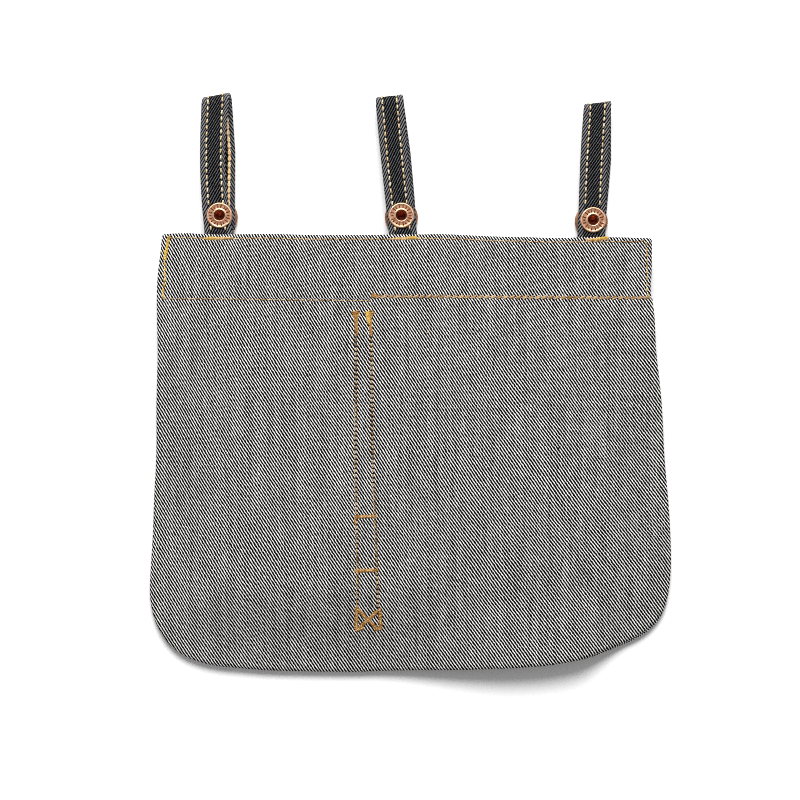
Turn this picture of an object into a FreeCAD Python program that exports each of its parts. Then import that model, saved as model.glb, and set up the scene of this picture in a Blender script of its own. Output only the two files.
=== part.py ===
import FreeCAD, Part
import math
import os

from FreeCAD import Placement, Rotation, Vector

# Denim tool pouch lying on its front. X runs across it, Y runs up towards the belt loops, and
# Z points off the table, out of the side that lies against the wearer. Millimetres.
# The origin is under the middle of the whole part, on the table.

# ---- overall size ----
LENGTH = 255.0                      # pouch bottom to the tops of the tallest loops
BOTTOM_Y = -LENGTH / 2
LOOP_TOP_Y = LENGTH / 2
TOP_Y = 64.5                        # top edge of the pouch
BAND_HEIGHT = 27.5                  # waistband, measured down from the top edge
BAND_EDGE = 1.0                     # its facing stops this far below the top edge
MOUTH_Y = TOP_Y - 32.0              # pocket mouth, just below the waistband

# outline of the pouch from the left end of its top edge, round the bottom, to the right end:
# the right lower corner is cut rounder than the left one
OUTLINE = [
    (-109.0, TOP_Y),
    (-110.9, 36.0),
    (-111.9, 0.0),
    (-113.1, -45.0),
    (-114.5, -83.0),
    (-112.7, -104.5),
    (-102.7, -117.6),
    (-83.5, -124.6),
    (-50.0, -127.0),
    (-4.0, BOTTOM_Y),
    (40.0, -126.6),
    (84.0, -120.8),
    (105.5, -109.3),
    (113.0, -95.8),
    (114.5, -80.0),
    (113.0, -50.0),
    (110.0, -5.0),
    (107.4, 32.0),
    (106.1, TOP_Y),
]
OUTLINE_STEPS = 36                  # points that carry the outline inwards

# ---- cloth ----
CLOTH = 1.0                         # one layer of heavy denim, seams pressed
ALLOWANCE = 0.9                     # a turned-in edge pressed flat
ALLOWANCE_WIDTH = 10.0
POCKET_DEPTH = 7.0                  # how far the pocket stands open

# ---- heights, from the table up ----
BELLY_TOP = CLOTH
FRONT_Z = BELLY_TOP + POCKET_DEPTH  # lower face of the front panel
RIM_Z = FRONT_Z + CLOTH
BACK_Z = RIM_Z + 2 * ALLOWANCE      # lower face of the back panel
FACE_Z = BACK_Z + CLOTH             # the wearer's side
BAND_Z = FRONT_Z - 1.2              # lower face of the waistband facing

# ---- pocket ----
FLANGE = 6.0                        # width sewn flat round the pocket panel
SLOPE = 8.0                         # width of the slope from the flange down to the belly
HEM_WIDTH = 12.0
VALLEY_TOP = 8.6                    # half width of the flat strip between the two pockets
VALLEY_SPREAD = 8.0

# ---- tool strap, and the outer strip tacked along it ----
STRAP_TOP = (-25.8, -15.4)          # left and right edge at the upper end
STRAP_FOOT = (-25.0, -12.2)         # left and right edge at the lower end
STRAP_Y = (-111.7, MOUTH_Y)
STRIP_INSET = 1.3
STRIP_THICKNESS = 0.9
DIVIDER_X = -19.0

# ---- belt loops ----
STRIP = 1.8                         # a loop strip: cloth folded to two layers
LOOP_WIDTH = 11.4
LOOP_GAP = 5.0                      # room for the belt between the two legs
AXIS_Z = RIM_Z + STRIP / 2          # middle of the back leg
HINGE_Y = TOP_Y + 2.3               # where the loop bends above the top seam
TAIL = (-14.3, -2.2)                # lower and upper end of the sewn-in tail, from the bend line
BEND_CLEARANCE = 0.3
FREE_END = 1.0                      # lower end of the front leg, above the bend line
LEG_SPACING = LOOP_GAP + STRIP
FOLD_R = LEG_SPACING / 2
LOOPS = {
    # name: (X at the seam, lean in degrees, Y of the top, snap above the bend line)
    "left": (-83.9, 1.5, LOOP_TOP_Y, 6.9),
    "middle": (-3.2, 5.8, LOOP_TOP_Y, 6.9),
    "right": (80.4, -2.7, LOOP_TOP_Y - 3.2, 4.9),
}

# ---- ring snap: post and stud on the back leg, cap and socket on the front leg ----
POST_R = 5.7
POST_HOLE_R = 1.9
POST_THICKNESS = 0.8
BARREL_R = 2.3
STUD_PLATE_R = 4.7
STUD_PLATE = 0.8
STUD_R = 2.85
STUD_WAIST_R = 2.6
STUD_LENGTH = 3.0
SOCKET_R = 4.6
SNAP_PLAY = 0.3
SPRING_R = 3.15
SPRING_WIRE_R = 0.32
GROOVE_R = 3.55
CAP_R = 7.4
CAP_RIM = 0.9
CAP_DOME = 1.0
RIVET_R = 1.65
RIVET_WALL = 0.45

# ---- bar tacks of thick thread, raised on the wearer's side ----
THREAD = 0.3
TACK_WIDTH = 1.4
BOX_BAR = 0.8
LOOP_TACK_Y = TOP_Y - 1.1
LOOP_TACKS = {"left": (-90.3, -78.4), "middle": (-7.6, 3.4), "right": (77.8, 87.0)}
DIVIDER_TACKS = {"divider_tack_left": -24.0, "divider_tack_right": -17.8}
DIVIDER_TACK_Y = (24.6, 30.6)
CROSS_TACKS = {"cross_tack_upper": (-24.4, -14.7, -59.1), "cross_tack_lower": (-24.7, -14.1, -82.9)}
BOX_X = (-24.0, -13.0)
BOX_Y = (-109.7, -99.2)

FAR = 400.0                         # longer than anything, for cutting tools


def block(x0, x1, y0, y1, z0, z1):
    return Part.makeBox(x1 - x0, y1 - y0, z1 - z0, Vector(x0, y0, z0))


def prism(points, z0, z1):
    corners = [Vector(x, y, z0) for x, y in points]
    wire = Part.makePolygon(corners + corners[:1])
    return Part.Face(wire).extrude(Vector(0, 0, z1 - z0))


def turned(profile):
    """A solid of revolution about Z from a closed (radius, height) profile."""
    corners = [Vector(r, 0, z) for r, z in profile]
    wire = Part.makePolygon(corners + corners[:1])
    return Part.Face(wire).revolve(Vector(0, 0, 0), Vector(0, 0, 1), 360)


def outline(inset, z):
    """The pouch's outline moved in by inset, as a closed wire at height z."""
    curve = Part.BSplineCurve()
    curve.interpolate([Vector(x, y, z) for x, y in OUTLINE])
    if inset:
        first, last = curve.FirstParameter, curve.LastParameter
        moved = []
        for step in range(OUTLINE_STEPS + 1):
            at = first + (last - first) * step / OUTLINE_STEPS
            along = curve.tangent(at)[0]
            moved.append(curve.value(at) + Vector(-along.y, along.x, 0) * inset)
        curve = Part.BSplineCurve()
        curve.interpolate(moved)
    edge = curve.toShape()
    return Part.Wire([edge, Part.makeLine(curve.EndPoint, curve.StartPoint)])


def plate(inset, z0, z1):
    solid = Part.Face(outline(inset, z0)).extrude(Vector(0, 0, z1 - z0))
    return solid.common(below(TOP_Y - inset)) if inset else solid


def tapered(inset_low, z_low, inset_high, z_high):
    return Part.makeLoft([outline(inset_low, z_low), outline(inset_high, z_high)], True, True)


def below(y):
    return block(-FAR, FAR, -FAR, y, -FAR, FAR)


def cut_all(shape, tools):
    for tool in tools:
        shape = shape.cut(tool)
    return shape


# ---- pouch ----
def panel_with_rim(z0, rim_z0, tails):
    """A cloth panel and its turned-in edge, which is open where the loop tails go in."""
    rim = plate(0, rim_z0, rim_z0 + ALLOWANCE).cut(plate(ALLOWANCE_WIDTH, rim_z0, rim_z0 + ALLOWANCE))
    return plate(0, z0, z0 + CLOTH).fuse(cut_all(rim, tails)).removeSplitter()


def waistband():
    band = plate(0, BAND_Z, FRONT_Z).common(below(TOP_Y - BAND_EDGE))
    return band.cut(below(TOP_Y - BAND_HEIGHT))


def valley(extra, z_low, z_high):
    """The room between the two pockets, wider towards the table."""
    spread = VALLEY_SPREAD * (FRONT_Z - CLOTH - z_low) / (FRONT_Z - CLOTH)
    top = VALLEY_TOP + extra
    foot = top + spread
    section = Part.makePolygon([
        Vector(DIVIDER_X - foot, -FAR, z_low),
        Vector(DIVIDER_X + foot, -FAR, z_low),
        Vector(DIVIDER_X + top, -FAR, z_high),
        Vector(DIVIDER_X - top, -FAR, z_high),
        Vector(DIVIDER_X - foot, -FAR, z_low),
    ])
    return Part.Face(section).extrude(Vector(0, 2 * FAR, 0))


def pocket_panel():
    flange_z = FRONT_Z - CLOTH
    outer = tapered(FLANGE - CLOTH + SLOPE, 0, FLANGE - CLOTH, flange_z)
    outer = outer.cut(valley(-CLOTH, 0, flange_z))
    inner = tapered(FLANGE + SLOPE, BELLY_TOP, FLANGE, flange_z)
    inner = inner.fuse(plate(FLANGE, flange_z, FRONT_Z))
    strip = block(DIVIDER_X - VALLEY_TOP, DIVIDER_X + VALLEY_TOP, -FAR, FAR, flange_z, FRONT_Z)
    inner = cut_all(inner, [valley(0, BELLY_TOP, flange_z), strip])
    hem_room = block(-FAR, FAR, MOUTH_Y - HEM_WIDTH, FAR, BELLY_TOP, BELLY_TOP + ALLOWANCE)
    inner = inner.cut(hem_room)
    shell = outer.fuse(plate(0, flange_z, FRONT_Z)).cut(inner)
    return shell.common(below(MOUTH_Y)).removeSplitter()


def strap_shape(inset, z0, z1):
    foot_y, top_y = STRAP_Y
    corners = [
        (STRAP_FOOT[0] + inset, foot_y + inset),
        (STRAP_FOOT[1] - inset, foot_y + inset),
        (STRAP_TOP[1] - inset, top_y),
        (STRAP_TOP[0] + inset, top_y),
    ]
    return prism(corners, z0, z1)


# ---- belt loops, built about their own bend line and then set in place ----
def placed(shape, name):
    x, lean, _, _ = LOOPS[name]
    turn = Rotation(Vector(0, 0, 1), lean)
    moved = shape.copy()
    moved.Placement = Placement(Vector(x, HINGE_Y, AXIS_Z), turn).multiply(shape.Placement)
    return moved


def fold_y(name):
    """Height of the fold's centre above the bend line, along the loop."""
    _, lean, top_y, _ = LOOPS[name]
    angle = math.radians(abs(lean))
    corner = LOOP_WIDTH / 2 * math.sin(angle)
    return (top_y - HINGE_Y - corner) / math.cos(angle) - FOLD_R - STRIP / 2


def leg(y0, y1, z_middle):
    half = LOOP_WIDTH / 2
    return block(-half, half, y0, y1, z_middle - STRIP / 2, z_middle + STRIP / 2)


def across(radius, y, z):
    """A cylinder lying across the loop."""
    half = LOOP_WIDTH / 2
    return Part.makeCylinder(radius, LOOP_WIDTH, Vector(-half, y, z), Vector(1, 0, 0))


def snap_hole(name, radius):
    return Part.makeCylinder(radius, FAR, Vector(0, LOOPS[name][3], -FAR / 2))


def loop_tail():
    return leg(*TAIL, 0)


def back_leg(name):
    strip = leg(0, fold_y(name), 0).fuse(across(STRIP / 2, 0, 0)).removeSplitter()
    return strip.cut(snap_hole(name, BARREL_R))


def fold(name):
    y = fold_y(name)
    ring = across(FOLD_R + STRIP / 2, y, -FOLD_R).cut(across(FOLD_R - STRIP / 2, y, -FOLD_R))
    return ring.cut(block(-FAR, FAR, -FAR, y, -FAR, FAR))


def front_leg(name):
    strip = leg(FREE_END, fold_y(name) - BEND_CLEARANCE, -LEG_SPACING)
    return strip.cut(snap_hole(name, RIVET_R))


# ---- ring snap, built about its own centre line with the back leg's middle at height 0 ----
LEG_LOW = -STRIP / 2
STUD_LOW = LEG_LOW - STUD_PLATE
STUD_END = STUD_LOW - STUD_LENGTH
FRONT_LEG_TOP = -LEG_SPACING + STRIP / 2
FRONT_LEG_LOW = -LEG_SPACING - STRIP / 2


def snap_post():
    top = STRIP / 2 + POST_THICKNESS
    bead = 0.25
    return turned([
        (POST_HOLE_R, STUD_LOW),
        (BARREL_R, STUD_LOW),
        (BARREL_R, STRIP / 2),
        (POST_R, STRIP / 2),
        (POST_R, top - bead),
        (POST_R - bead, top),
        (POST_HOLE_R + 2 * bead, top),
        (POST_HOLE_R, top - 2 * bead),
    ])


def snap_stud():
    waist = STUD_LOW - 0.9
    bulb = STUD_LOW - 2.1
    nose = 0.5
    return turned([
        (BARREL_R, LEG_LOW),
        (STUD_PLATE_R, LEG_LOW),
        (STUD_PLATE_R, STUD_LOW),
        (STUD_R, STUD_LOW),
        (STUD_WAIST_R, waist),
        (STUD_WAIST_R, waist - 0.5),
        (STUD_R, bulb),
        (STUD_R, STUD_END + nose),
        (STUD_R - nose, STUD_END),
        (0, STUD_END),
        (0, STUD_END + nose),
        (POST_HOLE_R, STUD_END + nose),
        (POST_HOLE_R, STUD_LOW),
        (BARREL_R, STUD_LOW),
    ])


def spring_height():
    return STUD_LOW - 1.15


def snap_socket():
    top = STUD_LOW - SNAP_PLAY
    floor = STUD_END - SNAP_PLAY
    bore = STUD_R + SNAP_PLAY
    half_groove = SPRING_WIRE_R + 0.06
    edge = 0.4
    return turned([
        (RIVET_R, FRONT_LEG_TOP),
        (SOCKET_R, FRONT_LEG_TOP),
        (SOCKET_R, top - edge),
        (SOCKET_R - edge, top),
        (bore, top),
        (bore, spring_height() + half_groove),
        (GROOVE_R, spring_height() + half_groove),
        (GROOVE_R, spring_height() - half_groove),
        (bore, spring_height() - half_groove),
        (bore, floor),
        (RIVET_R, floor),
    ])


def snap_spring():
    split = 24
    ring = Part.makeTorus(SPRING_R, SPRING_WIRE_R, Vector(0, 0, 0), Vector(0, 0, 1), 0, 360, 360 - split)
    ring.translate(Vector(0, 0, spring_height()))
    return ring


def snap_cap():
    rim_low = FRONT_LEG_LOW - CAP_RIM
    rivet_top = STUD_END - SNAP_PLAY
    ball_r = (CAP_R ** 2 + CAP_DOME ** 2) / (2 * CAP_DOME)
    half_turn = math.asin(CAP_R / ball_r) / 2
    ball_z = rim_low - CAP_DOME + ball_r
    edge = Vector(CAP_R, 0, rim_low)
    shoulder = Vector(ball_r * math.sin(half_turn), 0, ball_z - ball_r * math.cos(half_turn))
    crown = Vector(0, 0, rim_low - CAP_DOME)
    dome = Part.Arc(edge, shoulder, crown).toShape()
    corners = [
        (0, rim_low - CAP_DOME),
        (0, FRONT_LEG_LOW),
        (RIVET_R - RIVET_WALL, FRONT_LEG_LOW),
        (RIVET_R - RIVET_WALL, rivet_top),
        (RIVET_R, rivet_top),
        (RIVET_R, FRONT_LEG_LOW),
        (CAP_R, FRONT_LEG_LOW),
        (CAP_R, rim_low),
    ]
    rest = Part.makePolygon([Vector(r, 0, z) for r, z in corners])
    wire = Part.Wire([dome] + rest.Edges)
    return Part.Face(wire).revolve(Vector(0, 0, 0), Vector(0, 0, 1), 360)


def on_snap(shape, name):
    shape.translate(Vector(0, LOOPS[name][3], 0))
    return placed(shape, name)


# ---- thread ----
def tack(x0, x1, y0, y1):
    return block(x0, x1, y0, y1, FACE_Z, FACE_Z + THREAD)


def box_tack():
    x0, x1 = BOX_X
    y0, y1 = BOX_Y
    frame = tack(x0, x1, y0, y1).cut(tack(x0 + BOX_BAR, x1 - BOX_BAR, y0 + BOX_BAR, y1 - BOX_BAR))
    middle = Vector((x0 + x1) / 2, (y0 + y1) / 2, 0)
    reach = math.hypot(x1 - x0, y1 - y0) / 2 - BOX_BAR
    for angle in (45, -45):
        bar = tack(-reach, reach, -BOX_BAR / 2, BOX_BAR / 2)
        bar.rotate(Vector(0, 0, 0), Vector(0, 0, 1), angle)
        bar.translate(middle)
        frame = frame.fuse(bar)
    return frame.removeSplitter()


def build():
    tails = {name: placed(loop_tail(), name) for name in LOOPS}
    nodes = {
        "back_panel": panel_with_rim(BACK_Z, BACK_Z - ALLOWANCE, tails.values()),
        "front_panel": panel_with_rim(FRONT_Z, RIM_Z, tails.values()),
        "waistband": waistband(),
        "pocket_panel": pocket_panel(),
        "tool_strap": strap_shape(0, FRONT_Z - 2 * CLOTH, FRONT_Z - CLOTH),
        "tool_loop_strip": strap_shape(
            STRIP_INSET, FRONT_Z - 2 * CLOTH - STRIP_THICKNESS, FRONT_Z - 2 * CLOTH
        ),
        "box_tack": box_tack(),
    }
    for node, x in DIVIDER_TACKS.items():
        nodes[node] = tack(x - TACK_WIDTH / 2, x + TACK_WIDTH / 2, *DIVIDER_TACK_Y)
    for node, (x0, x1, y) in CROSS_TACKS.items():
        nodes[node] = tack(x0, x1, y - TACK_WIDTH / 2, y + TACK_WIDTH / 2)
    for name in LOOPS:
        x0, x1 = LOOP_TACKS[name]
        nodes[name + "_loop_tack"] = tack(
            x0, x1, LOOP_TACK_Y - TACK_WIDTH / 2, LOOP_TACK_Y + TACK_WIDTH / 2
        )
        nodes[name + "_loop_tail"] = tails[name]
        nodes[name + "_back_leg"] = placed(back_leg(name), name)
        nodes[name + "_fold"] = placed(fold(name), name)
        nodes[name + "_front_leg"] = placed(front_leg(name), name)
        nodes[name + "_snap_post"] = on_snap(snap_post(), name)
        nodes[name + "_snap_stud"] = on_snap(snap_stud(), name)
        nodes[name + "_snap_socket"] = on_snap(snap_socket(), name)
        nodes[name + "_snap_spring"] = on_snap(snap_spring(), name)
        nodes[name + "_snap_cap"] = on_snap(snap_cap(), name)
    return nodes


def main():
    os.makedirs("parts", exist_ok=True)
    for node, shape in build().items():
        shape.exportStep("parts/" + node + ".step")
        box = shape.optimalBoundingBox()
        print(
            f"{node}: valid {shape.isValid()}, solids {len(shape.Solids)}, volume {shape.Volume:.1f}, "
            f"X {box.XMin:.2f}..{box.XMax:.2f}, Y {box.YMin:.2f}..{box.YMax:.2f}, "
            f"Z {box.ZMin:.2f}..{box.ZMax:.2f}"
        )


main()
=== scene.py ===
import bmesh
import bpy
import math
import random
from functools import lru_cache
import numpy as np
from mathutils import Matrix, Vector
from mathutils.geometry import delaunay_2d_cdt


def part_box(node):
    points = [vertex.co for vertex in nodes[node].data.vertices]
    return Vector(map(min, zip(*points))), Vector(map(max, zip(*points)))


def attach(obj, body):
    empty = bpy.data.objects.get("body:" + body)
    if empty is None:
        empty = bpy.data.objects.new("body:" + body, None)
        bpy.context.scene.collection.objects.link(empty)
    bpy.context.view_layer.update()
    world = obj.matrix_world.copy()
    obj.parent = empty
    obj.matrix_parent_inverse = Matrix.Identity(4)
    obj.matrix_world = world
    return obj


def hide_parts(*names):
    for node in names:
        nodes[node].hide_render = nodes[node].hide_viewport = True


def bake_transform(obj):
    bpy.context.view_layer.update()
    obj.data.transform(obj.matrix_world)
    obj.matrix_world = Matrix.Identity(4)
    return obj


# Denim tool pouch lying on its front, seen from the wearer's side. Millimetres, until a mesh is made.
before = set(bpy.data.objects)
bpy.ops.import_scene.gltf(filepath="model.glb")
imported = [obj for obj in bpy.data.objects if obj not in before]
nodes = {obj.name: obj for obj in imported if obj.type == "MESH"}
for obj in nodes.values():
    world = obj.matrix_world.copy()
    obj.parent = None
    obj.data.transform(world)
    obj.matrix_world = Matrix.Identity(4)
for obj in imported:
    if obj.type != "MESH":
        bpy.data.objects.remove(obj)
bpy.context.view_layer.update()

MM = 0.001
UV = "cloth"


@lru_cache(None)
def low(node):
    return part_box(node)[0] / MM


@lru_cache(None)
def high(node):
    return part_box(node)[1] / MM


# ---- levels and places, read from the CAD frame ----
CLOTH = 1.0
FACE_Z = high("back_panel").z
BACK_Z = FACE_Z - CLOTH
SEAM_Z = low("back_panel").z
FRONT_Z = low("front_panel").z
RIM_Z = FRONT_Z + CLOTH
TOP_Y = high("back_panel").y
BAND_Y = low("waistband").y
MOUTH_Y = high("pocket_panel").y
ALLOWANCE_WIDTH = 10.0
DIVIDER_X = -19.0
PITCH = 2.8                       # one stitch
HINGE_Y = TOP_Y + 2.3
AXIS_Z = SEAM_Z
LOOPS = {
    # name: (X at the seam, lean in degrees, snap above the bend line,
    #        near leg's shift, far leg's shift at the top, middle and snap)
    "left": (-83.9, 1.5, 6.9, -0.7, (0.1, 1.1, 0.2)),
    "middle": (-3.2, 5.8, 6.9, -0.1, (0.2, 0.9, 0.5)),
    "right": (80.4, -2.7, 4.9, -0.4, (0.3, 1.3, 0.4)),
}
LOOP_WIDTH = 12.2
HALF_GAUGE = 3.19                 # from the strip's middle to each of its stitch rows
STRIP = 1.8
FOLD_R = 3.4
TAIL_LOW = -14.0
CUT_Y = 2.2                       # where the strip's lower and upper pieces meet, just above the bend
SKEW = {"left": 9.0, "middle": 1.0, "right": 9.5}  # how far the fold at the top is out of square, degrees


# ---- small tools ----
def smooth(low_edge, high_edge, value):
    t = np.clip((value - low_edge) / (high_edge - low_edge), 0, 1)
    return t * t * (3 - 2 * t)


@lru_cache(None)
def wave_set(size, seed, count=7):
    rng = random.Random(seed)
    found = []
    for _ in range(count):
        way = rng.uniform(0, math.tau)
        pace = math.tau / (size * rng.uniform(0.6, 1.7))
        found.append((math.cos(way) * pace, math.sin(way) * pace, rng.uniform(0, math.tau)))
    return found


def waves(x, y, size, seed):
    """Soft hills between about -1 and 1, some size millimetres across."""
    return sum(np.sin(x * a + y * b + c) for a, b, c in wave_set(size, seed)) * 0.3


class Shape:
    """Vertices, faces and cloth coordinates of one piece, in millimetres."""

    def __init__(self):
        self.verts, self.uvs, self.faces, self.kinds = [], [], [], []

    def add(self, verts, uvs, faces, kind=0):
        base = len(self.verts)
        self.verts.extend(verts)
        self.uvs.extend(uvs)
        self.faces.extend(tuple(base + i for i in f) for f in faces)
        self.kinds.extend([kind] * len(faces))
        return base

    def tube(self, points, radius, shade, sides=7, flat=1.0, pinch=0.35):
        """A strand of thread through points, thinner at its ends. flat squashes it upwards."""
        points = [Vector(p) for p in points]
        last = len(points) - 1
        verts, uvs, faces = [], [], []
        run = 0.0
        for i, p in enumerate(points):
            ahead = points[min(i + 1, last)] - points[max(i - 1, 0)]
            ahead.normalize()
            side = ahead.cross(Vector((0, 0, 1)))
            side = side.normalized() if side.length > 1e-4 else Vector((1, 0, 0))
            up = side.cross(ahead)
            run += (p - points[i - 1]).length if i else 0.0
            r = radius * (pinch if i in (0, last) else 1.0)
            for k in range(sides):
                turn = math.tau * k / sides
                verts.append(p + side * (math.cos(turn) * r) + up * (math.sin(turn) * r * flat))
                uvs.append((run, shade + 0.8 * k / sides))
                if i < last:
                    a, b = i * sides + k, i * sides + (k + 1) % sides
                    faces.append((a, b, b + sides, a + sides))
        faces.append(tuple(reversed(range(sides))))
        faces.append(tuple(last * sides + k for k in range(sides)))
        self.add(verts, uvs, faces)

    def lathe(self, profile, centre, steps=72):
        """A turned form about a vertical line: profile is a closed run of (radius, height) pairs."""
        verts, uvs, faces = [], [], []
        for i, (r, z) in enumerate(profile):
            below = (i + 1) % len(profile) * steps
            for k in range(steps):
                turn = math.tau * k / steps
                u, v = r * math.cos(turn), r * math.sin(turn)
                verts.append(Vector((centre[0] + u, centre[1] + v, z)))
                uvs.append((u, v))
                after = (k + 1) % steps
                faces.append((i * steps + k, i * steps + after, below + after, below + k))
        self.add(verts, uvs, faces)

    def make(self, name, materials):
        mesh = bpy.data.meshes.new(name)
        mesh.from_pydata([tuple(c * MM for c in v) for v in self.verts], [], self.faces)
        layer = mesh.uv_layers.new(name=UV)
        corner = np.zeros(len(mesh.loops), np.int32)
        mesh.loops.foreach_get("vertex_index", corner)
        layer.data.foreach_set("uv", np.array(self.uvs, np.float32)[corner].ravel())
        for material in materials if isinstance(materials, (list, tuple)) else [materials]:
            mesh.materials.append(material)
        mesh.polygons.foreach_set("material_index", np.array(self.kinds, np.int32))
        mesh.polygons.foreach_set("use_smooth", np.ones(len(mesh.polygons), bool))
        mesh.validate()
        mesh.update()
        item = bpy.data.objects.new(name, mesh)
        bpy.context.scene.collection.objects.link(item)
        return item


# ---- node graphs written as sums ----
class Wire:
    """A value in a node tree. Arithmetic on it adds Math nodes."""

    def __init__(self, tree, socket):
        self.tree, self.socket = tree, socket

    def math(self, operation, *others, clamp=False):
        node = self.tree.nodes.new("ShaderNodeMath")
        node.operation = operation
        node.use_clamp = clamp
        for slot, value in zip(node.inputs, (self, *others)):
            plug(self.tree, slot, value)
        return Wire(self.tree, node.outputs[0])

    def __add__(self, other):
        return self.math("ADD", other)

    def __sub__(self, other):
        return self.math("SUBTRACT", other)

    def __mul__(self, other):
        return self.math("MULTIPLY", other)

    def __truediv__(self, other):
        return self.math("DIVIDE", other)

    def frac(self):
        return self.math("FRACT")

    def floor(self):
        return self.math("FLOOR")

    def hump(self):
        """0 at each whole number, 1 half way between."""
        return (self.frac() * math.pi).math("SINE")

    def peak(self):
        """A straight-sided wave, 1 at whole numbers, 0 half way between."""
        return ((self.frac() - 0.5) * 2.0).math("ABSOLUTE")

    def ease(self, start, end):
        node = self.tree.nodes.new("ShaderNodeMapRange")
        node.interpolation_type = "SMOOTHSTEP"
        plug(self.tree, node.inputs["Value"], self)
        plug(self.tree, node.inputs["From Min"], start)
        plug(self.tree, node.inputs["From Max"], end)
        return Wire(self.tree, node.outputs[0])


def plug(tree, slot, value):
    if isinstance(value, Wire):
        tree.links.new(value.socket, slot)
    else:
        slot.default_value = value


def new_material(name):
    material = bpy.data.materials.new(name)
    material.use_nodes = True
    tree = material.node_tree
    shader = next(n for n in tree.nodes if n.type == "BSDF_PRINCIPLED")
    return material, tree, shader


def cloth_uv(tree):
    node = tree.nodes.new("ShaderNodeUVMap")
    node.uv_map = UV
    split = tree.nodes.new("ShaderNodeSeparateXYZ")
    tree.links.new(node.outputs[0], split.inputs[0])
    return Wire(tree, split.outputs[0]), Wire(tree, split.outputs[1])


def object_xyz(tree):
    node = tree.nodes.new("ShaderNodeTexCoord")
    split = tree.nodes.new("ShaderNodeSeparateXYZ")
    tree.links.new(node.outputs["Object"], split.inputs[0])
    return [Wire(tree, split.outputs[i]) * (1 / MM) for i in range(3)]


def joined(tree, x, y, z=0.0):
    node = tree.nodes.new("ShaderNodeCombineXYZ")
    for slot, value in zip(node.inputs, (x, y, z)):
        plug(tree, slot, value)
    return Wire(tree, node.outputs[0])


def noise(tree, x, y, z=0.0, detail=2.0, rough=0.5):
    """Cloudy noise, about 0.5 on average, on coordinates that are already scaled."""
    node = tree.nodes.new("ShaderNodeTexNoise")
    node.inputs["Scale"].default_value = 1.0
    node.inputs["Detail"].default_value = detail
    node.inputs["Roughness"].default_value = rough
    tree.links.new(joined(tree, x, y, z).socket, node.inputs["Vector"])
    return Wire(tree, node.outputs[0])


def dice(tree, x, y=0.0):
    """A random number for each whole x and y."""
    node = tree.nodes.new("ShaderNodeTexWhiteNoise")
    node.noise_dimensions = "2D"
    tree.links.new(joined(tree, x, y).socket, node.inputs["Vector"])
    return Wire(tree, node.outputs[0])


def blended(tree, amount, first, second):
    node = tree.nodes.new("ShaderNodeMix")
    node.data_type = "RGBA"
    plug(tree, node.inputs[0], amount)
    for slot, value in ((node.inputs[6], first), (node.inputs[7], second)):
        plug(tree, slot, value if isinstance(value, Wire) else (*value, 1.0))
    return Wire(tree, node.outputs[2])


def bump(tree, shader, height, distance, strength=1.0):
    node = tree.nodes.new("ShaderNodeBump")
    node.inputs["Distance"].default_value = distance * MM
    node.inputs["Strength"].default_value = strength
    plug(tree, node.inputs["Height"], height)
    tree.links.new(node.outputs[0], shader.inputs["Normal"])


WARP = 0.334                      # spacing of the dark warp yarns
WEFT = 0.500                      # spacing of the pale weft yarns


def reverse_denim():
    """The wrong side of the denim: pale weft floats crossed by dark warp in steep lines."""
    material, tree, shader = new_material("denim_reverse")
    u, v = cloth_uv(tree)
    wobble = noise(tree, u * 0.9, v * 0.9, 3.0, 1.0) - 0.5
    count_x, count_y = u / WARP, v / WEFT
    yarn_x = dice(tree, count_x.floor(), 7.0) - 0.5
    yarn_y = dice(tree, count_y.floor(), 3.0) - 0.5
    phase = (count_x + count_y) / 4.0 + wobble * 0.38 + yarn_x * 0.07 + yarn_y * 0.09
    streak = noise(tree, u * 0.45, v * 0.016, 5.0, 3.0, 0.6) - 0.5
    fine_streak = noise(tree, u * 1.9, v * 0.04, 9.0, 1.0) - 0.5
    blotch = noise(tree, u * 0.16, v * 0.11, 1.0, 2.0) - 0.5
    cover = streak * 0.26 + fine_streak * 0.20 + blotch * 0.12 + 0.68
    light = phase.peak().ease(cover - 0.09, cover + 0.09)
    weft = count_y.hump()
    warp = count_x.hump()
    fuzz = noise(tree, u * 5.0, v * 5.0, 2.0, 2.0)
    pale = blended(tree, fuzz, (0.76, 0.75, 0.72), (0.93, 0.92, 0.895))
    # Painted shade: each pale weft yarn is greyed towards its sides and each dark warp yarn is lighter along its
    # middle, as on rounded yarn; the warp's is mixed with random fuzz.
    pale = blended(tree, weft * 0.25 + 0.75, (0.45, 0.44, 0.42), pale)
    dark = blended(tree, warp * fuzz, (0.0008, 0.0008, 0.0008), (0.008, 0.008, 0.009))
    tree.links.new(blended(tree, light, dark, pale).socket, shader.inputs["Base Color"])
    shader.inputs["Roughness"].default_value = 0.95
    shader.inputs["Specular IOR Level"].default_value = 0.0
    bump(tree, shader, light * weft * 0.7 + warp * 0.25 + fuzz * 0.2, 0.22, 0.7)
    return material


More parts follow.
